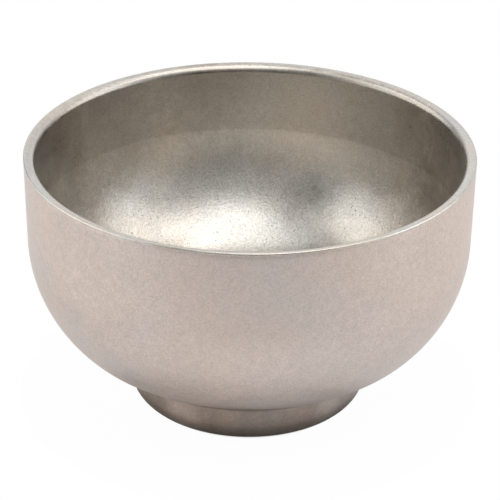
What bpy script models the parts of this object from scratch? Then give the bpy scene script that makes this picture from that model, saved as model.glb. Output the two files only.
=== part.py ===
"""Double-walled stainless steel bowl, in metres, standing on z = 0 with its axis on Z.

Three pressed sheets make the bowl. The inner bowl turns out at the top into a
sloping rim, the outer shell hangs from that rim round an air space, and a
closed foot cup is seated under the shell.
"""

import math

import bpy
import numpy as np

# Overall
RIM_DIAMETER = 0.130
OVERALL_HEIGHT = 0.0775
SEAT_GAP = 0.0003
EDGE_BREAK = 0.00008

# Rim, turned out from the inner bowl's sheet
INNER_SHEET = 0.0005
RIM_WIDTH = 0.0033
RIM_EDGE_RADIUS = 0.0006
RIM_LIP_DEPTH = 0.0007
RIM_FALL_DEG = 18.0
RIM_BEND_RADIUS = 0.0015

# Inner bowl below the rim
INNER_WALL_TAPER_DEG = 0.3
DRAW_LINE_DEPTH = 0.0212
DRAW_LINE_SLOPE_DEG = 3.5
SIDE_END_DEG = 47.0
HEEL_RADIUS = 0.024
HEEL_END_DEG = 76.0
FLOOR_AIR_GAP = 0.0038

# Outer shell
OUTER_SHEET = 0.0005
OUTER_WALL_TAPER_DEG = 1.3
OUTER_WALL_DEPTH = 0.0258
BELLY_RADIUS = 0.0420
BELLY_END_DEG = 43.3
TUCK_RADIUS = 0.0262

# Foot cup
FOOT_SHEET = 0.0006
FOOT_DIAMETER = 0.0692
FOOT_TAPER_DEG = 1.4
FOOT_CORNER_RADIUS = 0.0062
STANDING_WIDTH = 0.0030
PANEL_RISE = 0.0014
PANEL_BEND_RADIUS = 0.0016

# Facets
TURN_STEPS = 60
ARC_DEVIATION = 0.00008
LEAST_ARC_STEPS = 2


class Profile:
    """A half section drawn by heading: 0 points away from the axis, 90 up, 180 to the axis."""

    def __init__(self, radius, height, heading_deg):
        self.points = [(radius, height)]
        self.heading = math.radians(heading_deg)

    @property
    def radius(self):
        return self.points[-1][0]

    @property
    def height(self):
        return self.points[-1][1]

    def forward(self, length):
        """Draws a straight run."""
        self.points.append(
            (
                self.radius + length * math.cos(self.heading),
                self.height + length * math.sin(self.heading),
            )
        )

    def head(self, heading_deg):
        """Changes direction on the spot, which leaves a crease."""
        self.heading = math.radians(heading_deg)

    def bend_to(self, heading_deg, bend_radius):
        """Draws a tangent arc until the heading is reached."""
        end = math.radians(heading_deg)
        sweep = end - self.heading
        side = math.copysign(1.0, sweep)
        centre_r = self.radius - side * bend_radius * math.sin(self.heading)
        centre_z = self.height + side * bend_radius * math.cos(self.heading)
        step = 2.0 * math.acos(1.0 - ARC_DEVIATION / bend_radius)
        count = max(LEAST_ARC_STEPS, math.ceil(abs(sweep) / step))
        for i in range(1, count + 1):
            angle = self.heading + sweep * i / count
            self.points.append(
                (
                    centre_r + side * bend_radius * math.sin(angle),
                    centre_z - side * bend_radius * math.cos(angle),
                )
            )
        self.heading = end

    def to_axis(self):
        """Closes the section with a straight run to the axis."""
        self.points.append((0.0, self.height))


def outer_shell_profile():
    """Outer face from the rim seam down to the axis, with height 0 at the rim."""
    taper = math.radians(OUTER_WALL_TAPER_DEG)
    seam_depth = RIM_LIP_DEPTH + SEAT_GAP
    profile = Profile(
        RIM_DIAMETER / 2 - seam_depth * math.tan(taper),
        -seam_depth,
        270.0 - OUTER_WALL_TAPER_DEG,
    )
    profile.forward((OUTER_WALL_DEPTH - seam_depth) / math.cos(taper))
    profile.bend_to(270.0 - BELLY_END_DEG, BELLY_RADIUS)
    profile.bend_to(180.0, TUCK_RADIUS)
    profile.to_axis()
    return profile.points


def height_at(points, radius):
    """Height of a section at a radius, on its part that runs in towards the axis."""
    ordered = sorted(points)
    return float(np.interp(radius, [r for r, _ in ordered], [z for _, z in ordered]))


def side_and_floor_radii(start_radius, drop):
    """Radii of the side and floor arcs that reach the axis after a drop.

    The side arc, the heel arc and the floor arc are tangent, so their widths
    add up to the start radius and their depths to the drop.
    """
    start = math.radians(DRAW_LINE_SLOPE_DEG)
    side = math.radians(SIDE_END_DEG)
    heel = math.radians(HEEL_END_DEG)
    widths = [math.cos(start) - math.cos(side), math.cos(heel)]
    depths = [math.sin(side) - math.sin(start), 1.0 - math.sin(heel)]
    heel_width = HEEL_RADIUS * (math.cos(side) - math.cos(heel))
    heel_depth = HEEL_RADIUS * (math.sin(heel) - math.sin(side))
    left = np.array([widths, depths])
    right = np.array([start_radius - heel_width, drop - heel_depth])
    return np.linalg.solve(left, right)


def inner_bowl_profile(shell_points):
    """Inner face from the axis out over the rim to the lip, with height 0 at the rim."""
    fall = math.radians(RIM_FALL_DEG)
    taper = math.radians(INNER_WALL_TAPER_DEG)
    profile = Profile(RIM_DIAMETER / 2, -RIM_LIP_DEPTH, 90.0)
    profile.forward(RIM_LIP_DEPTH - RIM_EDGE_RADIUS)
    profile.bend_to(180.0, RIM_EDGE_RADIUS)
    profile.bend_to(180.0 + RIM_FALL_DEG, RIM_EDGE_RADIUS)
    edge_width = RIM_EDGE_RADIUS * (1.0 + math.sin(fall))
    bend_width = RIM_BEND_RADIUS * (math.cos(taper) - math.sin(fall))
    profile.forward((RIM_WIDTH - edge_width - bend_width) / math.cos(fall))
    profile.bend_to(270.0 - INNER_WALL_TAPER_DEG, RIM_BEND_RADIUS)
    profile.forward((profile.height + DRAW_LINE_DEPTH) / math.cos(taper))

    shell_floor = shell_points[-1][1] + OUTER_SHEET
    floor = shell_floor + FLOOR_AIR_GAP + INNER_SHEET
    side_radius, floor_radius = side_and_floor_radii(profile.radius, profile.height - floor)
    profile.head(270.0 - DRAW_LINE_SLOPE_DEG)
    profile.bend_to(270.0 - SIDE_END_DEG, side_radius)
    profile.bend_to(270.0 - HEEL_END_DEG, HEEL_RADIUS)
    profile.bend_to(180.0, floor_radius)
    profile.points[-1] = (0.0, floor)
    return profile.points[::-1]


def foot_cup_profile(shell_points):
    """Outer face from the seat under the shell down to the standing ring and the panel."""
    taper = math.radians(FOOT_TAPER_DEG)
    radius = FOOT_DIAMETER / 2
    seat = OVERALL_HEIGHT + height_at(shell_points, radius - FOOT_SHEET) - SEAT_GAP
    wall_end = FOOT_CORNER_RADIUS * (1.0 - math.sin(taper))
    profile = Profile(radius, seat, 270.0 - FOOT_TAPER_DEG)
    profile.forward((seat - wall_end) / math.cos(taper))
    profile.bend_to(180.0, FOOT_CORNER_RADIUS)
    profile.forward(STANDING_WIDTH)
    rise_deg = math.degrees(math.acos(1.0 - PANEL_RISE / (2.0 * PANEL_BEND_RADIUS)))
    profile.bend_to(180.0 - rise_deg, PANEL_BEND_RADIUS)
    profile.bend_to(180.0, PANEL_BEND_RADIUS)
    profile.to_axis()
    return profile.points


def steel(name, colour, roughness):
    """Tumbled stainless steel."""
    material = bpy.data.materials.new(name)
    material.use_nodes = True
    shader = material.node_tree.nodes["Principled BSDF"]
    shader.inputs["Base Color"].default_value = (*colour, 1.0)
    shader.inputs["Metallic"].default_value = 1.0
    shader.inputs["Roughness"].default_value = roughness
    material.diffuse_color = (*colour, 1.0)
    return material


def turned_sheet(name, points, sheet, height, material, frame, collection):
    """A section turned about Z and given its sheet thickness behind the drawn face."""
    mesh = bpy.data.meshes.new(name)
    edges = [(i, i + 1) for i in range(len(points) - 1)]
    mesh.from_pydata([(r, 0.0, z) for r, z in points], edges, [])
    mesh.materials.append(material)
    piece = bpy.data.objects.new(name, mesh)
    piece.parent = frame
    piece.location.z = height
    collection.objects.link(piece)

    screw = piece.modifiers.new("Turn", "SCREW")
    screw.axis = "Z"
    screw.angle = math.tau
    screw.screw_offset = 0.0
    screw.steps = TURN_STEPS
    screw.render_steps = TURN_STEPS
    screw.use_merge_vertices = True
    screw.merge_threshold = 0.00001
    screw.use_smooth_shade = True

    solidify = piece.modifiers.new("Sheet", "SOLIDIFY")
    solidify.thickness = sheet
    solidify.offset = -1.0
    solidify.use_even_offset = True
    solidify.use_rim = True

    bevel = piece.modifiers.new("Edge break", "BEVEL")
    bevel.width = EDGE_BREAK
    bevel.segments = 1
    bevel.limit_method = "ANGLE"
    bevel.angle_limit = math.radians(50.0)
    bevel.harden_normals = True
    return piece


def main():
    for item in list(bpy.data.objects):
        bpy.data.objects.remove(item, do_unlink=True)
    scene = bpy.context.scene
    bowl = bpy.data.collections.new("steel_bowl")
    scene.collection.children.link(bowl)
    frame = bpy.data.objects.new("bowl_frame", None)
    frame.empty_display_size = 0.02
    bowl.objects.link(frame)

    shell = outer_shell_profile()
    turned_sheet(
        "outer_shell",
        shell,
        OUTER_SHEET,
        OVERALL_HEIGHT,
        steel("outer steel", (0.47, 0.43, 0.39), 0.42),
        frame,
        bowl,
    )
    turned_sheet(
        "inner_bowl",
        inner_bowl_profile(shell),
        INNER_SHEET,
        OVERALL_HEIGHT,
        steel("inner steel", (0.44, 0.41, 0.37), 0.36),
        frame,
        bowl,
    )
    turned_sheet(
        "foot_cup",
        foot_cup_profile(shell),
        FOOT_SHEET,
        0.0,
        steel("foot steel", (0.38, 0.35, 0.32), 0.40),
        frame,
        bowl,
    )


main()
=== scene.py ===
"""A double-walled stainless steel bowl, dressed for its photograph.

Three turned sheets stand for the three CAD nodes, with finer sections and the
slight unevenness of pressed and tumbled steel. A rim seam and a foot weld join
them. The bowl stands on a white floor in soft light. All sizes are in metres.
"""

import logging
import math
from collections.abc import Sequence
from dataclasses import dataclass, field
from enum import Enum

import bpy
import numpy as np
from mathutils import Matrix, Vector, noise


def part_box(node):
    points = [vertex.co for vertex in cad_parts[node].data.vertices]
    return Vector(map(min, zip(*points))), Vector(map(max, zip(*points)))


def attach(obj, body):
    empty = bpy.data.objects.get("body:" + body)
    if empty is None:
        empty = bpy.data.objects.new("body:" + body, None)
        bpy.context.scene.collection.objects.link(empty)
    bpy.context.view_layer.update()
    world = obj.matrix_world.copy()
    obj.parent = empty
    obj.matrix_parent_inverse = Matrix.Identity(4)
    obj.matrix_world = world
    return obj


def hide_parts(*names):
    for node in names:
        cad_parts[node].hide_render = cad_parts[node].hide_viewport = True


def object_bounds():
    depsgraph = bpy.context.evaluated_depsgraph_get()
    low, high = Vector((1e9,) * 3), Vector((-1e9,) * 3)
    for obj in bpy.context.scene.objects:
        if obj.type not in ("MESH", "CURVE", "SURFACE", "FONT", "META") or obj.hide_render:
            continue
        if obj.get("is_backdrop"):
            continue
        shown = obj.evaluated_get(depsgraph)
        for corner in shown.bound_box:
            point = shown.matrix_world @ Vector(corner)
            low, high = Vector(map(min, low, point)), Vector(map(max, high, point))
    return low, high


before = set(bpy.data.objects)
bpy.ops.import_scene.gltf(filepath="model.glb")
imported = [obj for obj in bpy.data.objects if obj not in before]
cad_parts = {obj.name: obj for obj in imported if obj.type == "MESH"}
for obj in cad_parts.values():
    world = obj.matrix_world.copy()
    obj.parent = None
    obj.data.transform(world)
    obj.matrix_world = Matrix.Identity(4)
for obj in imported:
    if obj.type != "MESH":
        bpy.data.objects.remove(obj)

LOG = logging.getLogger("bowl")

Colour = tuple[float, float, float]
Place = tuple[float, float, float]
Point = tuple[float, float]
Socket = bpy.types.NodeSocket

WHITE = (1.0, 1.0, 1.0, 1.0)

# A point closer to the axis than this lies on it
ON_AXIS = 1e-7

# Cloudy noise has a mean of 0.5 and mostly lies within these ranges
CLOUD_RANGE = (0.28, 0.72)
DRIFT_RANGE = (0.34, 0.66)
ROUGH_RANGE = (0.3, 0.7)

# A mix node's sockets share their names, so they are found by number
MIX_AMOUNT = 0
MIX_FIRST = 6
MIX_SECOND = 7
MIX_RESULT = 2


class CadNode(Enum):
    """The CAD nodes that the dressed sheets stand for."""

    INNER_BOWL = "inner_bowl"
    OUTER_SHELL = "outer_shell"
    FOOT_CUP = "foot_cup"


class Slot(Enum):
    """The material slots of the record."""

    INNER = "inner_steel"
    OUTER = "outer_steel"
    FOOT = "foot_steel"


class Mix(Enum):
    """Ways to mix two colours."""

    BLEND = "MIX"
    TINT = "MULTIPLY"
    SUM = "ADD"


class SectionPen:
    """A half section of radius and height, drawn by heading.

    Heading 0 points away from the axis, 90 up and 180 to the axis.
    """

    def __init__(self, radius: float, height: float, heading_deg: float) -> None:
        """Starts a section.

        Args:
            radius: Distance of the first point from the axis.
            height: Height of the first point.
            heading_deg: Heading in degrees.
        """
        self.points: list[Point] = [(radius, height)]
        self.heading = math.radians(heading_deg)
        self.longest_run = 0.0012
        self.widest_turn = math.radians(4.0)

    @property
    def radius(self) -> float:
        """Distance of the last point from the axis."""
        return self.points[-1][0]

    @property
    def height(self) -> float:
        """Height of the last point."""
        return self.points[-1][1]

    def forward(self, length: float) -> None:
        """Draws a straight run.

        Args:
            length: Length of the run.
        """
        radius, height = self.points[-1]
        out, up = math.cos(self.heading), math.sin(self.heading)
        count = max(1, math.ceil(length / self.longest_run))
        for i in range(1, count + 1):
            along = length * i / count
            self.points.append((radius + along * out, height + along * up))

    def head(self, heading_deg: float) -> None:
        """Changes direction on the spot, which leaves a crease."""
        self.heading = math.radians(heading_deg)

    def bend_to(self, heading_deg: float, bend_radius: float) -> None:
        """Draws a tangent arc until a heading is reached.

        Args:
            heading_deg: Heading at the end of the arc, in degrees.
            bend_radius: Radius of the arc.
        """
        end = math.radians(heading_deg)
        sweep = end - self.heading
        side = math.copysign(1.0, sweep)
        centre_r = self.radius - side * bend_radius * math.sin(self.heading)
        centre_z = self.height + side * bend_radius * math.cos(self.heading)
        by_turn = abs(sweep) / self.widest_turn
        by_run = abs(sweep) * bend_radius / self.longest_run
        count = max(2, math.ceil(max(by_turn, by_run)))
        for i in range(1, count + 1):
            angle = self.heading + sweep * i / count
            radius = centre_r + side * bend_radius * math.sin(angle)
            height = centre_z - side * bend_radius * math.cos(angle)
            self.points.append((radius, height))
        self.heading = end

    def to_axis(self) -> None:
        """Runs straight in to the axis."""
        radius, height = self.points[-1]
        count = max(1, math.ceil(radius / self.longest_run))
        for i in range(1, count + 1):
            self.points.append((radius * (1.0 - i / count), height))


def height_at(points: Sequence[Point], radius: float) -> float:
    """Finds the height of a section where it crosses a radius.

    Args:
        points: Section points.
        radius: Distance from the axis.

    Returns:
        The height there.
    """
    ordered = sorted(points)
    return float(np.interp(radius, [r for r, _ in ordered], [z for _, z in ordered]))


def section_normals(points: np.ndarray) -> np.ndarray:
    """Finds unit normals on the left of a section's run.

    Args:
        points: Section points, one row each.

    Returns:
        One unit normal for each point.
    """
    runs = np.diff(points, axis=0)
    runs /= np.linalg.norm(runs, axis=1)[:, None]
    left = np.stack([-runs[:, 1], runs[:, 0]], axis=1)
    joined = np.vstack([left[:1], left[:-1] + left[1:], left[-1:]])
    return joined / np.linalg.norm(joined, axis=1)[:, None]


def quarter_turn(centre: np.ndarray, start: np.ndarray, end: np.ndarray) -> list[np.ndarray]:
    """Draws a quarter of a circle.

    Args:
        centre: Centre of the circle.
        start: From the centre to the first point.
        end: From the centre to the last point.

    Returns:
        The points.
    """
    steps = 6
    turns = [math.pi / 2 * i / steps for i in range(steps + 1)]
    return [centre + start * math.cos(turn) + end * math.sin(turn) for turn in turns]


def cup_outline(face: Sequence[Point], sheet: float, edge_radius: float) -> np.ndarray:
    """Gives a drawn face its sheet thickness and rounds its free edge.

    Args:
        face: Face points from the axis out to the free edge.
        sheet: Sheet thickness, below 0 where the sheet lies on the right of the face's run.
        edge_radius: Rounding at both corners of the free edge.

    Returns:
        Outline points from the axis along the face, round the edge and back to the axis.
    """
    front = np.array(face, float)
    normals = section_normals(front)
    normals[0] = (0.0, math.copysign(1.0, normals[0][1]))
    back = front + normals * sheet
    back[0][0] = 0.0
    run = front[-1] - front[-2]
    run *= edge_radius / np.linalg.norm(run)
    side = normals[-1] * math.copysign(edge_radius, sheet)
    corners = [
        *quarter_turn(front[-1] - run + side, -side, run),
        *quarter_turn(back[-1] - run - side, run, side),
    ]
    cleared = edge_radius * 1.05
    keep_front = np.linalg.norm(front - front[-1], axis=1) > cleared
    keep_back = np.linalg.norm(back - back[-1], axis=1) > cleared
    return np.vstack([front[keep_front], corners, back[keep_back][::-1]])


@dataclass(frozen=True)
class Unevenness:
    """The slow waves that pressing and tumbling leave in a sheet.

    Attributes:
        long_wave: Length of the slow waves.
        long_depth: How far they leave the true surface.
        short_wave: Length of the quicker waves.
        short_depth: How far these leave the true surface.
        seed: Shifts the waves, so that no two sheets share them.
    """

    long_wave: float = 0.021
    long_depth: float = 0.00004
    short_wave: float = 0.006
    short_depth: float = 0.000006
    seed: float = 0.0

    def at(self, place: Vector) -> float:
        """Finds how far the surface is moved at a place.

        Args:
            place: A point on the true surface.

        Returns:
            The move along the surface's normal.
        """
        shift = Vector((self.seed, self.seed * 0.7, -self.seed))
        slow = noise.noise(place / self.long_wave + shift)
        quick = noise.noise(place / self.short_wave - shift)
        return slow * self.long_depth + quick * self.short_depth


def turned_mesh(name: str, outline: np.ndarray, turns: int, waves: Unevenness) -> bpy.types.Mesh:
    """Turns a closed outline about Z.

    Args:
        name: Name of the mesh.
        outline: Points from the axis, out and back to the axis, or a closed ring clear of it.
        turns: Number of steps in the full turn.
        waves: Unevenness of the surface.

    Returns:
        A closed, smooth mesh.
    """
    on_axis = outline[0][0] < ON_AXIS
    normals = section_normals(outline)
    rings = outline[1:-1] if on_axis else outline
    ring_normals = normals[1:-1] if on_axis else normals
    angles = np.arange(turns) * math.tau / turns
    cosines, sines = np.cos(angles), np.sin(angles)
    verts = []
    for (radius, height), (out_r, out_z) in zip(rings, ring_normals):
        for c, s in zip(cosines, sines):
            place = Vector((radius * c, radius * s, height))
            verts.append(place + Vector((out_r * c, out_r * s, out_z)) * waves.at(place))
    faces = []
    bands = len(rings) - 1 if on_axis else len(rings)
    for i in range(bands):
        low, high = i * turns, (i + 1) % len(rings) * turns
        for j in range(turns):
            k = (j + 1) % turns
            faces.append((low + j, low + k, high + k, high + j))
    if on_axis:
        last = (len(rings) - 1) * turns
        first_pole, last_pole = len(verts), len(verts) + 1
        verts.append(Vector((0.0, 0.0, outline[0][1])))
        verts.append(Vector((0.0, 0.0, outline[-1][1])))
        for j in range(turns):
            k = (j + 1) % turns
            faces.append((first_pole, k, j))
            faces.append((last_pole, last + j, last + k))
    mesh = bpy.data.meshes.new(name)
    mesh.from_pydata(verts, [], faces)
    if runs_clockwise(outline):
        mesh.flip_normals()
    mesh.polygons.foreach_set("use_smooth", [True] * len(mesh.polygons))
    mesh.update()
    return mesh


def runs_clockwise(outline: np.ndarray) -> bool:
    """Tells whether a closed outline, with radius to the right and height up, runs clockwise."""
    following = np.roll(outline, -1, axis=0)
    return bool(np.sum(outline[:, 0] * following[:, 1] - following[:, 0] * outline[:, 1]) < 0.0)


class NodeBench:
    """Adds nodes to a tree and joins them."""

    def __init__(self, owner: bpy.types.Material | bpy.types.World) -> None:
        """Empties a material's or world's tree to work on."""
        owner.use_nodes = True
        self.tree = owner.node_tree
        self.tree.nodes.clear()

    def put(self, into: Socket, value: Socket | float | Sequence[float]) -> None:
        """Joins a socket to an input or sets the input.

        Args:
            into: The input.
            value: A socket or a plain value.
        """
        if isinstance(value, bpy.types.NodeSocket):
            self.tree.links.new(value, into)
        else:
            into.default_value = value

    def add(self, kind: str, **inputs: Socket | float | Sequence[float]) -> bpy.types.Node:
        """Adds a node.

        Args:
            kind: Blender's type name of the node.
            **inputs: Values by input name, with _ for a space.

        Returns:
            The node.
        """
        node = self.tree.nodes.new(kind)
        for name, value in inputs.items():
            self.put(node.inputs[name.replace("_", " ")], value)
        return node

    def maths(self, operation: str, a: Socket | float, b: Socket | float = 0.0) -> Socket:
        """Adds an operation on two values.

        Args:
            operation: Blender's name of the operation.
            a: First value.
            b: Second value.

        Returns:
            The result's socket.
        """
        node = self.tree.nodes.new("ShaderNodeMath")
        node.operation = operation
        self.put(node.inputs[0], a)
        self.put(node.inputs[1], b)
        return node.outputs[0]

    def product(self, first: Socket, *others: Socket | float) -> Socket:
        """Multiplies values.

        Args:
            first: First value.
            *others: The others.

        Returns:
            The result's socket.
        """
        for other in others:
            first = self.maths("MULTIPLY", first, other)
        return first

    def span(self, value: Socket, low: float, high: float, start: float, end: float) -> Socket:
        """Maps a range to another with soft ends.

        Args:
            value: The value.
            low: Where the range starts.
            high: Where the range ends.
            start: Result at the low end and below.
            end: Result at the high end and above.

        Returns:
            The result's socket.
        """
        node = self.tree.nodes.new("ShaderNodeMapRange")
        node.interpolation_type = "SMOOTHSTEP"
        self.put(node.inputs["Value"], value)
        node.inputs["From Min"].default_value = low
        node.inputs["From Max"].default_value = high
        node.inputs["To Min"].default_value = start
        node.inputs["To Max"].default_value = end
        return node.outputs["Result"]

    def mix(
        self,
        how: Mix,
        first: Socket | Colour,
        second: Socket | Colour,
        amount: Socket | float = 1.0,
    ) -> Socket:
        """Mixes two colours.

        Args:
            how: The way.
            first: First colour.
            second: Second colour.
            amount: 0 for the first colour alone, 1 for the whole mix.

        Returns:
            The result's socket.
        """
        node = self.tree.nodes.new("ShaderNodeMix")
        node.data_type = "RGBA"
        node.blend_type = how.value
        self.put(node.inputs[MIX_AMOUNT], amount)
        for number, value in ((MIX_FIRST, first), (MIX_SECOND, second)):
            joined = isinstance(value, bpy.types.NodeSocket)
            self.put(node.inputs[number], value if joined else (*value, 1.0))
        return node.outputs[MIX_RESULT]

    def mix_surface(self, share: Socket, first: Socket, second: Socket) -> Socket:
        """Mixes two surfaces.

        Args:
            share: Share of the second surface.
            first: First surface.
            second: Second surface.

        Returns:
            The result's socket.
        """
        node = self.tree.nodes.new("ShaderNodeMixShader")
        for into, value in zip(node.inputs, (share, first, second)):
            self.put(into, value)
        return node.outputs[0]

    def grey(self, value: Socket) -> Socket:
        """Turns a value into a grey."""
        node = self.add("ShaderNodeCombineColor", Red=value, Green=value, Blue=value)
        return node.outputs["Color"]

    def axes(self, place: Socket) -> list[Socket]:
        """Splits a place into its three coordinates."""
        return list(self.add("ShaderNodeSeparateXYZ", Vector=place).outputs)

    def distance(self, place: Socket, middle: Place = (0.0, 0.0, 0.0)) -> Socket:
        """Measures how far a place lies from a middle.

        Args:
            place: Coordinates in metres.
            middle: The middle.

        Returns:
            The distance's socket.
        """
        node = self.add("ShaderNodeVectorMath", Vector=place)
        node.operation = "DISTANCE"
        node.inputs[1].default_value = middle
        return node.outputs["Value"]

    def noise(self, place: Socket, size: float, detail: float, roughness: float) -> Socket:
        """Adds cloudy noise.

        Args:
            place: Coordinates in metres.
            size: Size of the clouds.
            detail: Number of finer layers.
            roughness: Strength of the finer layers.

        Returns:
            The noise value, about 0.5 on average.
        """
        node = self.add(
            "ShaderNodeTexNoise", Vector=place, Scale=1.0 / size, Detail=detail, Roughness=roughness
        )
        return node.outputs["Fac"]

    def specks(self, place: Socket, spacing: float, share: float, reach: float) -> Socket:
        """Adds scattered round specks of mixed sizes.

        Args:
            place: Coordinates in metres.
            spacing: Mean spacing of the cells that may hold a speck.
            share: Share of the cells that hold one.
            reach: Radius of the largest specks as a share of the spacing.

        Returns:
            1 inside a speck and 0 outside.
        """
        smallest = 0.45
        core = 0.5
        cells = self.add("ShaderNodeTexVoronoi", Vector=place, Scale=1.0 / spacing)
        chance = self.add("ShaderNodeSeparateColor", Color=cells.outputs["Color"])
        chosen = self.maths("LESS_THAN", chance.outputs[0], share)
        size = self.span(chance.outputs[1], 0.0, 1.0, reach * smallest, reach)
        within = self.maths("DIVIDE", cells.outputs["Distance"], size)
        return self.product(chosen, self.span(within, core, 1.0, 1.0, 0.0))


@dataclass(frozen=True)
class DrawnBandWithRimShade:
    """The duller band that the second draw leaves between the draw line and the rim, with painted
    shade that grows towards the rim.

    Attributes:
        line_height: Height of the draw line.
        rim_height: Height of the rim.
        wall_radius: Radius inside which the band lies.
        step: Share of the light lost just above the line.
        painted_rim_shade: Further share lost by the rim, as painted shade under the rim.
        line_edge: Half the width of the line's soft edge.
        wall_edge: Width of the band's soft edge at the rim.
    """

    line_height: float
    rim_height: float
    wall_radius: float
    step: float = 0.11
    painted_rim_shade: float = 0.26
    line_edge: float = 0.0002
    wall_edge: float = 0.0006

    def keep(self, bench: NodeBench, place: Socket) -> Socket:
        """Finds the share of the light that the surface keeps.

        Args:
            bench: The material's nodes.
            place: Coordinates in metres.

        Returns:
            1 below the line and on the rim, and less on the band.
        """
        x, y, height = bench.axes(place)
        out = bench.distance(bench.add("ShaderNodeCombineXYZ", X=x, Y=y).outputs[0])
        wall = bench.span(out, self.wall_radius, self.wall_radius + self.wall_edge, 1.0, 0.0)
        low, high = self.line_height - self.line_edge, self.line_height + self.line_edge
        above = bench.span(height, low, high, 0.0, self.step)
        # Painted shade: darker from the draw line up to the rim
        painted_shade_lost = bench.span(height, self.line_height, self.rim_height, 0.0, self.painted_rim_shade)
        lost = bench.product(wall, bench.maths("ADD", above, painted_shade_lost))
        return bench.maths("SUBTRACT", 1.0, lost)


@dataclass(frozen=True)
class PaintedShadeZone:
    """A stretch of a sheet painted darker towards one end, as painted shade.

    Attributes:
        darkest: Height at which it is darkest.
        clear: Height at which it begins.
        lost: Share of the light lost at the darkest end.
    """

    darkest: float
    clear: float
    lost: float

    def keep(self, bench: NodeBench, place: Socket) -> Socket:
        """Finds the share of the light that the surface keeps.

        Args:
            bench: The material's nodes.
            place: Coordinates in metres.

        Returns:
            1 beyond the zone and less within it.
        """
        height = bench.axes(place)[2]
        return bench.span(height, self.darkest, self.clear, 1.0 - self.lost, 1.0)


@dataclass(frozen=True)
class PaintedLightPatch:
    """A place painted brighter or darker, as painted light and shade.

    Attributes:
        middle: Its middle.
        reach: How far it reaches.
        gain: Share of painted light in its middle, below 0 where it is painted shade.
        core: Share of its reach within which it is strongest.
        end: Share of its reach where it ends.
        cloud_size: Size of the clouds that break its edge.
        cloud_depth: How far they move the edge, as a share of its reach.
    """

    middle: Place
    reach: float
    gain: float
    core: float = 0.5
    end: float = 1.5
    cloud_size: float = 0.0035
    cloud_depth: float = 0.9

    def keep(self, bench: NodeBench, place: Socket) -> Socket:
        """Finds the share of the light that the surface keeps.

        Args:
            bench: The material's nodes.
            place: Coordinates in metres.

        Returns:
            1 beyond the patch and more or less within it, with a broken edge.
        """
        clouds = bench.noise(place, self.cloud_size, detail=3.0, roughness=0.6)
        broken = bench.product(clouds, self.reach * self.cloud_depth)
        far = bench.maths("ADD", bench.distance(place, self.middle), broken)
        low, high = self.reach * self.core, self.reach * self.end
        return bench.span(far, low, high, 1.0 + self.gain, 1.0)


Zone = DrawnBandWithRimShade | PaintedShadeZone | PaintedLightPatch


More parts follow.
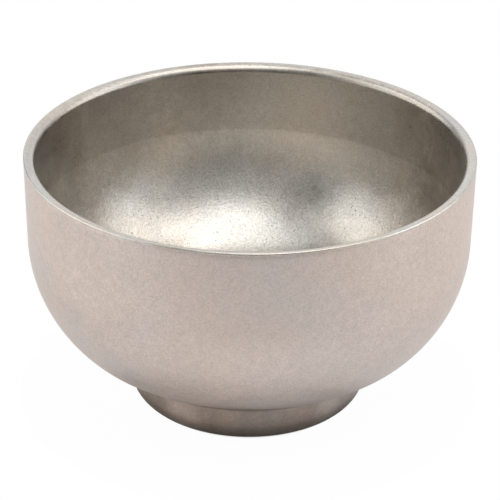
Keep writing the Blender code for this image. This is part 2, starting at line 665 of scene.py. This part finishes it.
@dataclass(frozen=True)
class TumbledSteel:
    """Stainless steel tumbled to a sandy satin.

    Attributes:
        name: Name of the material.
        colour: Colour of the bare metal.
        warm: Tint of the warm clouds.
        cool: Tint of the cool clouds.
        roughness: Mean roughness.
        roughness_swing: How far the clouds change it.
        cloud_size: Size of the clouds.
        cloud_depth: How far the clouds change the grey.
        drift_size: Size of the warm and cool clouds, as a multiple of the clouds' size.
        mottle_size: Size of the mottling.
        mottle_depth: How far it changes the grey.
        mottle_height: Its height as a share of the grain's.
        mottle_roughness: How far it changes the roughness.
        grain_size: Size of the sandy grain.
        grain_depth: How far it changes the grey.
        grain_height: Height of the grain.
        pit_spacing: Spacing of the cells that may hold a pit.
        pit_share: Share of them that hold one.
        pit_reach: Radius of the largest pits as a share of the spacing.
        pit_dark: How much of its light a pit keeps.
        pit_roughness: Roughness that a pit adds.
        glint_spacing: Spacing of the bright specks' cells as a share of the pits'.
        glint_share: Share of them that hold a bright speck.
        glint_reach: Radius of the largest bright specks as a share of their spacing.
        glint_gain: Light of a bright speck, where 1 is the sheet's own.
        sandy_height: Height above which the specks and the grain are fainter.
        sandy_blend: Half the height over which they grow fainter.
        sandy_left: Share of them left above it.
    """

    name: str
    colour: Colour
    warm: Colour = (1.03, 0.99, 0.955)
    cool: Colour = (0.97, 1.0, 1.03)
    roughness: float = 0.36
    roughness_swing: float = 0.05
    cloud_size: float = 0.014
    cloud_depth: float = 0.045
    drift_size: float = 2.6
    mottle_size: float = 0.0022
    mottle_depth: float = 0.035
    mottle_height: float = 1.2
    mottle_roughness: float = 0.03
    grain_size: float = 0.00055
    grain_depth: float = 0.09
    grain_height: float = 0.000012
    pit_spacing: float = 0.0016
    pit_share: float = 0.35
    pit_reach: float = 0.15
    pit_dark: float = 0.30
    pit_roughness: float = 0.25
    glint_spacing: float = 0.6
    glint_share: float = 0.12
    glint_reach: float = 0.22
    glint_gain: float = 1.3
    sandy_height: float = 1.0
    sandy_blend: float = 0.008
    sandy_left: float = 0.4

    def material(self, painted_zones: Sequence[Zone] = ()) -> bpy.types.Material:
        """Builds the material.

        Args:
            painted_zones: Parts of the sheet painted darker or brighter as shade and light, and the
                draw's duller band.

        Returns:
            The Blender material.
        """
        steel = bpy.data.materials.new(self.name)
        bench = NodeBench(steel)
        place = bench.add("ShaderNodeTexCoord").outputs["Object"]

        clouds = bench.noise(place, self.cloud_size, detail=5.0, roughness=0.62)
        drift = bench.noise(place, self.cloud_size * self.drift_size, detail=6.0, roughness=0.62)
        mottle = bench.noise(place, self.mottle_size, detail=2.0, roughness=0.55)
        grain = bench.noise(place, self.grain_size, detail=2.0, roughness=0.6)
        low, high = self.sandy_height - self.sandy_blend, self.sandy_height + self.sandy_blend
        sandy = bench.span(bench.axes(place)[2], low, high, 1.0, self.sandy_left)
        pits = bench.specks(place, self.pit_spacing, self.pit_share, self.pit_reach)
        pits = bench.product(pits, sandy)
        spacing = self.pit_spacing * self.glint_spacing
        glints = bench.specks(place, spacing, self.glint_share, self.glint_reach)
        glints = bench.product(glints, sandy)

        coolness = bench.span(drift, *DRIFT_RANGE, 0.0, 1.0)
        shade = bench.mix(Mix.BLEND, self.warm, self.cool, coolness)
        colour = bench.mix(Mix.TINT, self.colour, shade)
        sand = bench.span(grain, *CLOUD_RANGE, -self.grain_depth, self.grain_depth)
        light = bench.product(
            self.swing(bench, clouds, self.cloud_depth),
            self.swing(bench, mottle, self.mottle_depth),
            bench.maths("ADD", bench.product(sand, sandy), 1.0),
            bench.span(pits, 0.0, 1.0, 1.0, self.pit_dark),
            bench.span(glints, 0.0, 1.0, 1.0, self.glint_gain),
            # Painted light and shade of the zones
            *(zone.keep(bench, place) for zone in painted_zones),
        )
        colour = bench.mix(Mix.TINT, colour, bench.grey(light))

        low, high = self.roughness - self.roughness_swing, self.roughness + self.roughness_swing
        rough = bench.span(clouds, *ROUGH_RANGE, low, high)
        mottled = bench.span(mottle, *ROUGH_RANGE, -self.mottle_roughness, self.mottle_roughness)
        rough = bench.maths("ADD", rough, mottled)
        rough = bench.maths("ADD", rough, bench.product(pits, self.pit_roughness))

        height = bench.maths("ADD", grain, bench.product(mottle, self.mottle_height))
        height = bench.maths("SUBTRACT", height, pits)
        bump = bench.add("ShaderNodeBump", Height=height, Strength=1.0, Distance=self.grain_height)

        surface = bench.add(
            "ShaderNodeBsdfPrincipled",
            Base_Color=colour,
            Metallic=1.0,
            Roughness=rough,
            Normal=bump.outputs["Normal"],
        )
        bench.add("ShaderNodeOutputMaterial", Surface=surface.outputs["BSDF"])
        return steel

    @staticmethod
    def swing(bench: NodeBench, clouds: Socket, depth: float) -> Socket:
        """Turns cloudy noise into a factor that swings about 1 by a depth."""
        return bench.span(clouds, *CLOUD_RANGE, 1.0 - depth, 1.0 + depth)


def linked(name: str, data: bpy.types.ID) -> bpy.types.Object:
    """Makes an object and links it to the scene."""
    thing = bpy.data.objects.new(name, data)
    bpy.context.scene.collection.objects.link(thing)
    return thing


def place_piece(
    name: str,
    mesh: bpy.types.Mesh,
    finish: bpy.types.Material,
    replaces: CadNode | None = None,
) -> None:
    """Puts a piece of the bowl in the scene.

    Args:
        name: Name of the piece.
        mesh: Its mesh, in the bowl's own place.
        finish: Its material.
        replaces: The CAD node that it stands for.
    """
    piece = linked(name, mesh)
    mesh.materials.append(finish)
    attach(piece, "root")
    if replaces is not None:
        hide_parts(replaces.value)
    LOG.info("%s: %d faces", name, len(mesh.polygons))


@dataclass(frozen=True)
class DrawnSheet:
    """A steel sheet drawn to a round form.

    Attributes:
        name: Name of the piece.
        node: The CAD node that it stands for.
        slot: The record's material slot; not used.
        waves: Its unevenness.
        painted_zones: Its parts painted darker or brighter, as painted shade and light.
        finish: Its steel.
        sheet: Its thickness.
        side: 1 where its face looks out of the bowl, -1 where it looks into it.
        edge_radius: Rounding of its free edge.
        turns: Number of steps in the full turn.
    """

    name: str
    node: CadNode
    slot: Slot
    waves: Unevenness
    painted_zones: tuple[Zone, ...]
    finish: TumbledSteel
    sheet: float = 0.0005
    side: int = 1
    edge_radius: float = 0.0001
    turns: int = 256

    def build(self, face: Sequence[Point]) -> bpy.types.Mesh:
        """Builds the sheet's mesh.

        Args:
            face: Points of its face, from the free edge to the axis.

        Returns:
            The mesh.
        """
        outline = cup_outline(face[::-1], self.side * self.sheet, self.edge_radius)
        return turned_mesh(self.name, outline, self.turns, self.waves)

    def dress(self, mesh: bpy.types.Mesh, bands: Sequence[DrawnBandWithRimShade] = ()) -> None:
        """Gives the sheet its finish and its place.

        Args:
            mesh: The sheet's mesh.
            bands: Duller draw-line bands, with painted rim shade, beside its own zones.
        """
        steel = self.finish.material([*bands, *self.painted_zones])
        place_piece(self.name, mesh, steel, self.node)


@dataclass(frozen=True)
class OuterShell(DrawnSheet):
    """The drawn outer sheet, from the rim seam down to the flat under the belly."""

    name: str = "shell_sheet"
    node: CadNode = CadNode.OUTER_SHELL
    slot: Slot = Slot.OUTER
    rim_diameter: float = 0.130
    seam_depth: float = 0.0010
    wall_taper_deg: float = 1.3
    wall_depth: float = 0.0258
    belly_radius: float = 0.0420
    belly_end_deg: float = 43.3
    tuck_radius: float = 0.0262
    waves: Unevenness = Unevenness(seed=3.1)
    # Painted shade on the belly's underside next to the foot
    painted_zones: tuple[Zone, ...] = (PaintedShadeZone(darkest=0.0108, clear=0.0130, lost=0.35),)
    finish: TumbledSteel = TumbledSteel(
        name="outer_tumbled_steel",
        colour=(0.630, 0.545, 0.497),
        warm=(1.02, 0.995, 0.97),
        cool=(0.98, 1.0, 1.02),
        roughness=0.40,
        cloud_size=0.018,
        mottle_depth=0.045,
        pit_share=0.05,
        pit_dark=0.75,
        glint_share=0.04,
        grain_height=0.000006,
    )

    def face(self, rim_height: float) -> list[Point]:
        """Draws the outer face from the seam down to the axis.

        Args:
            rim_height: Height of the bowl's rim.

        Returns:
            The section's points.
        """
        taper = math.radians(self.wall_taper_deg)
        pen = SectionPen(
            self.rim_diameter / 2 - self.seam_depth * math.tan(taper),
            rim_height - self.seam_depth,
            270.0 - self.wall_taper_deg,
        )
        pen.forward((self.wall_depth - self.seam_depth) / math.cos(taper))
        pen.bend_to(270.0 - self.belly_end_deg, self.belly_radius)
        pen.bend_to(180.0, self.tuck_radius)
        pen.to_axis()
        return pen.points


@dataclass(frozen=True)
class InnerBowl(DrawnSheet):
    """The drawn inner sheet, turned out at the top into the sloping rim."""

    name: str = "bowl_sheet"
    node: CadNode = CadNode.INNER_BOWL
    slot: Slot = Slot.INNER
    side: int = -1
    edge_radius: float = 0.00012
    rim_diameter: float = 0.130
    rim_width: float = 0.0033
    rim_edge_radius: float = 0.0004
    rim_lip_depth: float = 0.0007
    rim_crown_deg: float = 4.0
    rim_fall_deg: float = 18.0
    rim_bend_radius: float = 0.0020
    wall_taper_deg: float = 0.3
    draw_line_depth: float = 0.0212
    draw_line_slope_deg: float = 3.5
    side_end_deg: float = 47.0
    heel_radius: float = 0.024
    heel_end_deg: float = 76.0
    floor_air_gap: float = 0.0038
    shell_sheet: float = 0.0005
    band_overlap: float = 0.0002
    waves: Unevenness = Unevenness(seed=11.7)
    painted_zones: tuple[Zone, ...] = (
        # Painted highlights and painted shade on the inner wall and floor
        PaintedLightPatch((-0.0160, 0.0590, 0.0700), 0.021, -0.21),
        PaintedLightPatch((-0.0370, 0.0495, 0.0600), 0.018, -0.15),
        PaintedLightPatch((0.0370, 0.0492, 0.0550), 0.025, -0.16),
        PaintedLightPatch((0.0541, 0.0279, 0.0500), 0.014, -0.22),
        PaintedLightPatch((-0.0517, 0.0345, 0.0490), 0.023, 0.22),
        PaintedLightPatch((-0.0115, 0.0560, 0.0405), 0.020, -0.14),
        PaintedLightPatch((-0.0165, 0.0475, 0.0292), 0.016, 0.15),
    )
    finish: TumbledSteel = TumbledSteel(
        name="inner_tumbled_steel",
        colour=(0.615, 0.578, 0.522),
        roughness=0.35,
        mottle_height=0.25,
        grain_size=0.00060,
        grain_depth=0.17,
        grain_height=0.000055,
        pit_spacing=0.0013,
        pit_share=0.70,
        pit_reach=0.18,
        pit_dark=0.46,
        glint_share=0.35,
        sandy_height=0.046,
        sandy_left=0.60,
    )

    def face(self, rim_height: float, shell_floor: float) -> list[Point]:
        """Draws the inner face from the lip over the rim and down to the axis.

        Args:
            rim_height: Height of the bowl's rim.
            shell_floor: Height of the outer shell's flat underside.

        Returns:
            The section's points.
        """
        crown, fall = math.radians(self.rim_crown_deg), math.radians(self.rim_fall_deg)
        taper = math.radians(self.wall_taper_deg)
        pen = SectionPen(self.rim_diameter / 2, rim_height - self.rim_lip_depth, 90.0)
        pen.forward(self.rim_lip_depth - self.rim_edge_radius)
        pen.bend_to(180.0, self.rim_edge_radius)
        pen.bend_to(180.0 + self.rim_crown_deg, self.rim_edge_radius)
        edge_width = self.rim_edge_radius * (1.0 + math.sin(crown))
        bend_width = self.rim_bend_radius * (math.cos(taper) - math.sin(fall))
        land_width = self.rim_width - edge_width - bend_width
        pen.bend_to(180.0 + self.rim_fall_deg, land_width / (math.sin(fall) - math.sin(crown)))
        pen.bend_to(270.0 - self.wall_taper_deg, self.rim_bend_radius)
        line_height = rim_height - self.draw_line_depth
        pen.forward((pen.height - line_height) / math.cos(taper))
        floor = shell_floor + self.shell_sheet + self.floor_air_gap + self.sheet
        side_radius, floor_radius = self.side_and_floor_radii(pen.radius, pen.height - floor)
        pen.head(270.0 - self.draw_line_slope_deg)
        pen.bend_to(270.0 - self.side_end_deg, side_radius)
        pen.bend_to(270.0 - self.heel_end_deg, self.heel_radius)
        pen.bend_to(180.0, floor_radius)
        pen.points[-1] = (0.0, floor)
        return pen.points

    def side_and_floor_radii(self, start_radius: float, drop: float) -> tuple[float, float]:
        """Finds the arcs of the side and the floor.

        Args:
            start_radius: Radius at the draw line.
            drop: Depth from the draw line to the middle of the floor.

        Returns:
            The side's radius and the floor's radius, tangent to the heel between them.
        """
        start = math.radians(self.draw_line_slope_deg)
        side = math.radians(self.side_end_deg)
        heel = math.radians(self.heel_end_deg)
        widths = (math.cos(start) - math.cos(side), math.cos(heel))
        depths = (math.sin(side) - math.sin(start), 1.0 - math.sin(heel))
        heel_width = self.heel_radius * (math.cos(side) - math.cos(heel))
        heel_depth = self.heel_radius * (math.sin(heel) - math.sin(side))
        found = np.linalg.solve(
            np.array([widths, depths]), np.array([start_radius - heel_width, drop - heel_depth])
        )
        return float(found[0]), float(found[1])

    def band(self, rim_height: float) -> DrawnBandWithRimShade:
        """Makes the duller band over the draw line, with painted shade towards the rim.

        Args:
            rim_height: Height of the bowl's rim.

        Returns:
            The band.
        """
        return DrawnBandWithRimShade(
            line_height=rim_height - self.draw_line_depth,
            rim_height=rim_height,
            wall_radius=self.rim_diameter / 2 - self.rim_width + self.band_overlap,
        )


@dataclass(frozen=True)
class FootCup(DrawnSheet):
    """The drawn foot, a shallow cup with a rounded lower edge."""

    name: str = "foot_sheet"
    node: CadNode = CadNode.FOOT_CUP
    slot: Slot = Slot.FOOT
    sheet: float = 0.0006
    turns: int = 192
    diameter: float = 0.0695
    taper_deg: float = 0.3
    corner_radius: float = 0.0063
    standing_width: float = 0.0030
    panel_rise: float = 0.0014
    panel_bend_radius: float = 0.0016
    seat_gap: float = 0.0003
    waves: Unevenness = Unevenness(seed=23.3)
    painted_zones: tuple[Zone, ...] = (
        # Painted shade at the foot's lower edge, and painted shadow under the belly at its top
        PaintedShadeZone(darkest=0.0, clear=0.0095, lost=0.55),
        PaintedShadeZone(darkest=0.0120, clear=0.0107, lost=0.55),
        # Painted reflections of the white floor on the foot
        PaintedLightPatch((-0.0185, -0.0290, 0.0060), 0.0095, 0.55),
        PaintedLightPatch((0.0230, -0.0255, 0.0065), 0.0080, 0.30),
        PaintedLightPatch((-0.0343, -0.0050, 0.0095), 0.0100, 0.80),
        PaintedLightPatch((0.0343, -0.0050, 0.0095), 0.0100, 0.80),
    )
    finish: TumbledSteel = TumbledSteel(
        name="foot_steel_painted_shade",
        # Painted shade: the shell's steel, made darker because the foot mirrors the shadowed floor
        colour=(0.412, 0.350, 0.309),
        roughness=0.38,
        pit_share=0.12,
        pit_dark=0.5,
        glint_share=0.06,
        cloud_size=0.008,
        cloud_depth=0.09,
    )

    def face(self, shell_face: Sequence[Point]) -> list[Point]:
        """Draws the outer face from the seat down to the panel's middle.

        Args:
            shell_face: The outer shell's section, which the foot is seated under.

        Returns:
            The section's points.
        """
        taper = math.radians(self.taper_deg)
        radius = self.diameter / 2
        seat = height_at(shell_face, radius - self.sheet) - self.seat_gap
        wall_end = self.corner_radius * (1.0 - math.sin(taper))
        pen = SectionPen(radius, seat, 270.0 - self.taper_deg)
        pen.forward((seat - wall_end) / math.cos(taper))
        pen.bend_to(180.0, self.corner_radius)
        pen.forward(self.standing_width)
        rise = math.acos(1.0 - self.panel_rise / (2.0 * self.panel_bend_radius))
        pen.bend_to(180.0 - math.degrees(rise), self.panel_bend_radius)
        pen.bend_to(180.0, self.panel_bend_radius)
        pen.to_axis()
        return pen.points


@dataclass(frozen=True)
class WeldBead:
    """A fine laser weld that closes the seat between two sheets.

    Attributes:
        name: Name of the piece.
        depth: How far it reaches in from its face.
        overlap: How far it runs into each sheet.
        corner: Rounding of its section.
        turns: Number of steps in the full turn.
        waves: Ripples of the weld.
        finish: Its steel.
    """

    name: str
    depth: float = 0.0004
    overlap: float = 0.00008
    corner: float = 0.00008
    turns: int = 256
    waves: Unevenness = Unevenness(
        long_wave=0.0016, long_depth=0.000012, short_wave=0.0007, short_depth=0.000006, seed=5.5
    )
    finish: TumbledSteel = TumbledSteel(
        name="weld_steel", colour=(0.60, 0.53, 0.485), roughness=0.40, pit_share=0.05, pit_dark=0.7
    )

    def build(self, radius: float, low: float, high: float) -> bpy.types.Mesh:
        """Builds the bead's mesh.

        Args:
            radius: Radius of its outer face.
            low: Height of the lower sheet's edge.
            high: Height of the upper sheet's edge.

        Returns:
            The mesh.
        """
        inside, outside = radius - self.depth, radius
        bottom, top = low - self.overlap, high + self.overlap
        centres = (
            (outside - self.corner, bottom + self.corner, -90.0),
            (outside - self.corner, top - self.corner, 0.0),
            (inside + self.corner, top - self.corner, 90.0),
            (inside + self.corner, bottom + self.corner, 180.0),
        )
        outline = []
        for r, z, start in centres:
            for step in (0.0, 30.0, 60.0, 90.0):
                turn = math.radians(start + step)
                outline.append((r + self.corner * math.cos(turn), z + self.corner * math.sin(turn)))
        return turned_mesh(self.name, np.array(outline), self.turns, self.waves)

    def dress(self, mesh: bpy.types.Mesh) -> None:
        """Gives the bead its finish and its place."""
        place_piece(self.name, mesh, self.finish.material())


@dataclass(frozen=True)
class PhotoCamera:
    """The photograph's camera, on an image of 500 by 500.

    Attributes:
        distance: Distance to the bowl's axis.
        pitch_deg: How far it looks down.
        roll_deg: Its lean about the line of sight.
        focal_px: Focal length in the image's pixels.
        aim_height: Height of the point that it looks at.
        aim_shift_px: How far that point lies from the image's middle column.
        image_px: Width of the image.
    """

    distance: float = 0.780
    pitch_deg: float = 27.1
    roll_deg: float = 0.613
    focal_px: float = 2667.0
    aim_height: float = 0.04549
    aim_shift_px: float = -0.9
    image_px: int = 500

    def build(self) -> None:
        """Makes the camera and gives it to the scene."""
        pitch = math.radians(self.pitch_deg)
        roll = math.radians(self.roll_deg)
        forward = Vector((0.0, math.cos(pitch), -math.sin(pitch)))
        level_right = Vector((1.0, 0.0, 0.0))
        level_up = level_right.cross(forward)
        right = math.cos(roll) * level_right + math.sin(roll) * level_up
        up = -math.sin(roll) * level_right + math.cos(roll) * level_up
        aim = Vector((0.0, 0.0, self.aim_height))
        shift = right * (self.aim_shift_px * self.distance / self.focal_px)
        place = aim - self.distance * forward - shift
        lens = bpy.data.cameras.new("photo_camera")
        lens.sensor_width = 36.0
        lens.lens = self.focal_px / self.image_px * lens.sensor_width
        lens.clip_start = 0.01
        lens.clip_end = 50.0
        camera = linked("photo_camera", lens)
        axes = Matrix((right, up, -forward)).transposed().to_4x4()
        camera.matrix_world = Matrix.Translation(place) @ axes
        bpy.context.scene.camera = camera


def towards(azimuth_deg: float, elevation_deg: float) -> Vector:
    """Finds a direction in the studio.

    Args:
        azimuth_deg: Turn from the camera's side, positive to the camera's right.
        elevation_deg: Height above the horizon.

    Returns:
        The unit direction.
    """
    azimuth, elevation = math.radians(azimuth_deg), math.radians(elevation_deg)
    level = math.cos(elevation)
    return Vector((math.sin(azimuth) * level, -math.cos(azimuth) * level, math.sin(elevation)))


@dataclass(frozen=True)
class Softbox:
    """A flat oval lamp over the bowl, which faces it.

    Attributes:
        name: Name of the lamp.
        azimuth_deg: Where it hangs, from the camera's side to the camera's right.
        elevation_deg: How high it hangs.
        distance: Distance from the bowl's mouth.
        width: Width of its face, from left to right.
        height: Length of its face, from the camera's side to the back.
        level: Brightness of its face, where 1 is a lit white wall.
    """

    name: str = "softbox_above"
    azimuth_deg: float = 41.8
    elevation_deg: float = 84.2
    distance: float = 0.90
    width: float = 0.582
    height: float = 1.207
    level: float = 2.03

    def hang(self, mouth: Vector) -> None:
        """Hangs the lamp.

        Args:
            mouth: Middle of the bowl's mouth.
        """
        light = bpy.data.lights.new(self.name, "AREA")
        light.shape = "ELLIPSE"
        light.size = self.width
        light.size_y = self.height
        face = math.pi / 4 * self.width * self.height
        light.energy = self.level * math.pi * face
        lamp = linked(self.name, light)
        out = towards(self.azimuth_deg, self.elevation_deg)
        right = Vector((0.0, 1.0, 0.0)).cross(out).normalized()
        lamp.location = mouth + out * self.distance
        lamp.rotation_euler = Matrix((right, out.cross(right), out)).transposed().to_euler()


@dataclass(frozen=True)
class Glow:
    """A softly lit stretch of the room's walls.

    Attributes:
        azimuth_deg: Middle of the stretch, from the camera's side to its right.
        elevation_deg: Height of its middle above the horizon.
        half_width_deg: Half its width.
        half_height_deg: Half its height.
        level: Its brightness.
        colour: Its colour.
        edge_deg: Width of its soft edge.
    """

    azimuth_deg: float
    elevation_deg: float
    half_width_deg: float
    half_height_deg: float
    level: float
    colour: Colour = (1.0, 1.0, 1.0)
    edge_deg: float = 16.0

    def light(self, bench: NodeBench, azimuth: Socket, elevation: Socket) -> Socket:
        """Adds the stretch to the room's nodes.

        Args:
            bench: The room's nodes.
            azimuth: Turn of the seen direction from the camera's side.
            elevation: Its height above the horizon.

        Returns:
            The stretch's light as a colour.
        """
        turn = bench.maths("SUBTRACT", azimuth, math.radians(self.azimuth_deg))
        aside = bench.maths("PINGPONG", turn, math.pi)
        rise = bench.maths("SUBTRACT", elevation, math.radians(self.elevation_deg))
        edge = math.radians(self.edge_deg) / 2
        width, height = math.radians(self.half_width_deg), math.radians(self.half_height_deg)
        across = bench.span(aside, width - edge, width + edge, self.level, 0.0)
        over = bench.maths("ABSOLUTE", rise)
        up = bench.span(over, height - edge, height + edge, 1.0, 0.0)
        grey = bench.grey(bench.product(across, up))
        return bench.mix(Mix.TINT, grey, self.colour)


@dataclass(frozen=True)
class Studio:
    """A white floor, a softbox above the bowl and a softly lit room.

    Attributes:
        floor_half_size: Half the floor's width, and its reach behind the bowl.
        floor_front: Distance from the bowl's axis to the floor's front edge.
        floor_colour: Colour of the floor's paint.
        shade_start: Distance from the axis within which the foot's shadow keeps its depth.
        shade_end: Distance at which the camera sees it faded.
        shade_left: Share of the shadow that the camera sees beyond that.
        white_start: Distance where the floor begins to burn out to white.
        white_end: Distance where it is white.
        ring_middle: Middle of the shade that the metal sees on the floor.
        ring_start: Distance from it where the floor begins to grow whiter.
        ring_end: Distance where it has grown so.
        ring_white: Share of white there.
        ring_fade_start: Distance from the axis where this white begins to fade.
        ring_fade_end: Distance where it is gone.
        side_start: Distance to the left or right where the metal sees more white.
        side_end: Distance where this has grown whole.
        side_white: Share of white there.
        side_fade_start: Distance from the axis where this white begins to fade.
        side_fade_end: Distance where it is gone.
        softbox: The lamp.
        glows: The lit stretches of the room.
    """

    floor_half_size: float = 4.0
    floor_front: float = 0.30
    floor_colour: Colour = (0.80, 0.80, 0.80)
    shade_start: float = 0.0291
    shade_end: float = 0.0311
    shade_left: float = 0.025
    white_start: float = 0.042
    white_end: float = 0.070
    ring_middle: Place = (-0.004, -0.026, 0.0)
    ring_start: float = 0.036
    ring_end: float = 0.052
    ring_white: float = 0.55
    ring_fade_start: float = 0.08
    ring_fade_end: float = 0.17
    side_start: float = 0.09
    side_end: float = 0.15
    side_white: float = 0.70
    side_fade_start: float = 0.60
    side_fade_end: float = 0.90
    softbox: Softbox = Softbox()
    glows: tuple[Glow, ...] = (
        Glow(92.1, 29.0, 21.4, 38.8, 1.98, (1.005, 1.0, 0.995)),
        Glow(-93.1, 25.4, 36.2, 33.0, 1.70, (1.01, 1.0, 0.985)),
        Glow(-72.0, 5.0, 48.0, 15.0, 0.38, (0.92, 1.0, 1.08)),
        Glow(84.0, 11.0, 32.0, 14.0, 0.80, (0.94, 1.0, 1.06)),
        Glow(45.0, 55.0, 34.0, 10.0, 0.68, edge_deg=12.0),
        Glow(164.9, 26.0, 43.9, 26.0, 0.84, (0.97, 0.985, 1.02)),
        Glow(153.6, 68.8, 20.0, 13.6, 1.75, edge_deg=12.0),
        Glow(-156.0, 36.0, 22.0, 20.0, 0.32, (0.92, 1.0, 1.08)),
        Glow(-178.0, 4.0, 30.0, 9.0, 0.40, edge_deg=10.0),
        Glow(14.7, 44.1, 49.0, 26.9, 0.49, (1.02, 1.0, 0.99)),
    )

    def build(self, mouth: Vector) -> None:
        """Makes the floor, the lamp and the room.

        Args:
            mouth: Middle of the bowl's mouth.
        """
        self.floor()
        self.softbox.hang(mouth)
        self.room()

    def floor(self) -> None:
        """Makes the floor."""
        half, front = self.floor_half_size, self.floor_front
        mesh = bpy.data.meshes.new("studio_floor")
        corners = [(-half, -front, 0.0), (half, -front, 0.0), (half, half, 0.0), (-half, half, 0.0)]
        mesh.from_pydata(corners, [], [(0, 1, 2, 3)])
        mesh.materials.append(self.floor_paint())
        floor = linked("studio_floor", mesh)
        floor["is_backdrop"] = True

    def floor_paint(self) -> bpy.types.Material:
        """Makes white paint that is burnt out to white away from the bowl.

        Returns:
            The material.
        """
        material = bpy.data.materials.new("studio_floor")
        bench = NodeBench(material)
        place = bench.add("ShaderNodeNewGeometry").outputs["Position"]
        far = bench.distance(place)
        ray = bench.add("ShaderNodeLightPath").outputs

        burnt = bench.span(far, self.white_start, self.white_end, 0.0, 1.0)
        faded = bench.span(far, self.shade_start, self.shade_end, 0.0, 1.0 - self.shade_left)
        seen = bench.product(bench.maths("MAXIMUM", burnt, faded), ray["Is Camera Ray"])

        out = bench.distance(place, self.ring_middle)
        ring = bench.span(out, self.ring_start, self.ring_end, 0.0, self.ring_white)
        left = bench.span(far, self.ring_fade_start, self.ring_fade_end, 1.0, 0.0)
        ring = bench.product(ring, left)
        aside = bench.maths("ABSOLUTE", bench.axes(place)[0])
        side = bench.span(aside, self.side_start, self.side_end, 0.0, self.side_white)
        left = bench.span(far, self.side_fade_start, self.side_fade_end, 1.0, 0.0)
        side = bench.product(side, left)
        bent = bench.maths("MAXIMUM", ray["Is Glossy Ray"], ray["Is Transmission Ray"])
        mirrored = bench.product(bench.maths("MAXIMUM", ring, side), bent)

        paint = bench.add("ShaderNodeBsdfDiffuse", Color=(*self.floor_colour, 1.0)).outputs[0]
        white = bench.add("ShaderNodeEmission", Color=WHITE, Strength=1.0).outputs[0]
        surface = bench.mix_surface(bench.maths("MAXIMUM", seen, mirrored), paint, white)
        bench.add("ShaderNodeOutputMaterial", Surface=surface)
        return material

    def room(self) -> None:
        """Lights the room's walls, which the camera sees burnt out to white."""
        world = bpy.data.worlds.new("room")
        bpy.context.scene.world = world
        bench = NodeBench(world)
        x, y, z = bench.axes(bench.add("ShaderNodeTexCoord").outputs["Generated"])
        azimuth = bench.maths("ARCTAN2", x, bench.product(y, -1.0))
        elevation = bench.maths("ARCSINE", z)
        parts = [glow.light(bench, azimuth, elevation) for glow in self.glows]
        total = parts[0]
        for part in parts[1:]:
            total = bench.mix(Mix.SUM, total, part)
        walls = bench.add("ShaderNodeBackground", Color=total, Strength=1.0).outputs[0]
        white = bench.add("ShaderNodeBackground", Color=WHITE, Strength=1.0).outputs[0]
        seen = bench.add("ShaderNodeLightPath").outputs["Is Camera Ray"]
        bench.add("ShaderNodeOutputWorld", Surface=bench.mix_surface(seen, walls, white))


@dataclass(frozen=True)
class Bowl:
    """The whole bowl, whose seam and weld lie a little behind the faces beside them."""

    shell: OuterShell = field(default_factory=OuterShell)
    inner: InnerBowl = field(default_factory=InnerBowl)
    foot: FootCup = field(default_factory=FootCup)
    seam: WeldBead = field(default_factory=lambda: WeldBead("rim_seam"))
    weld: WeldBead = field(default_factory=lambda: WeldBead("foot_weld"))
    seam_set_back: float = 0.00002
    weld_set_back: float = 0.00012

    def build(self) -> None:
        """Builds and dresses every piece."""
        rim_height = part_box(CadNode.INNER_BOWL.value)[1].z
        shell_face = self.shell.face(rim_height)
        inner_face = self.inner.face(rim_height, shell_floor=shell_face[-1][1])
        foot_face = self.foot.face(shell_face)
        self.inner.dress(self.inner.build(inner_face), [self.inner.band(rim_height)])
        self.shell.dress(self.shell.build(shell_face))
        self.foot.dress(self.foot.build(foot_face))
        seam_radius, seam_low = shell_face[0]
        seam_high = rim_height - self.inner.rim_lip_depth
        seam = self.seam.build(seam_radius - self.seam_set_back, seam_low, seam_high)
        self.seam.dress(seam)
        weld_radius, weld_low = foot_face[0]
        weld_high = weld_low + self.foot.seat_gap
        weld = self.weld.build(weld_radius - self.weld_set_back, weld_low, weld_high)
        self.weld.dress(weld)


def main() -> None:
    """Builds the bowl, its camera and its light."""
    logging.basicConfig(level=logging.INFO, format="%(name)s: %(message)s")
    bpy.context.scene.view_settings.view_transform = "Standard"
    cad_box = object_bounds()
    Bowl().build()
    PhotoCamera().build()
    Studio().build(Vector((0.0, 0.0, cad_box[1][2])))
    bpy.context.view_layer.update()


if __name__ == "__main__":
    main()
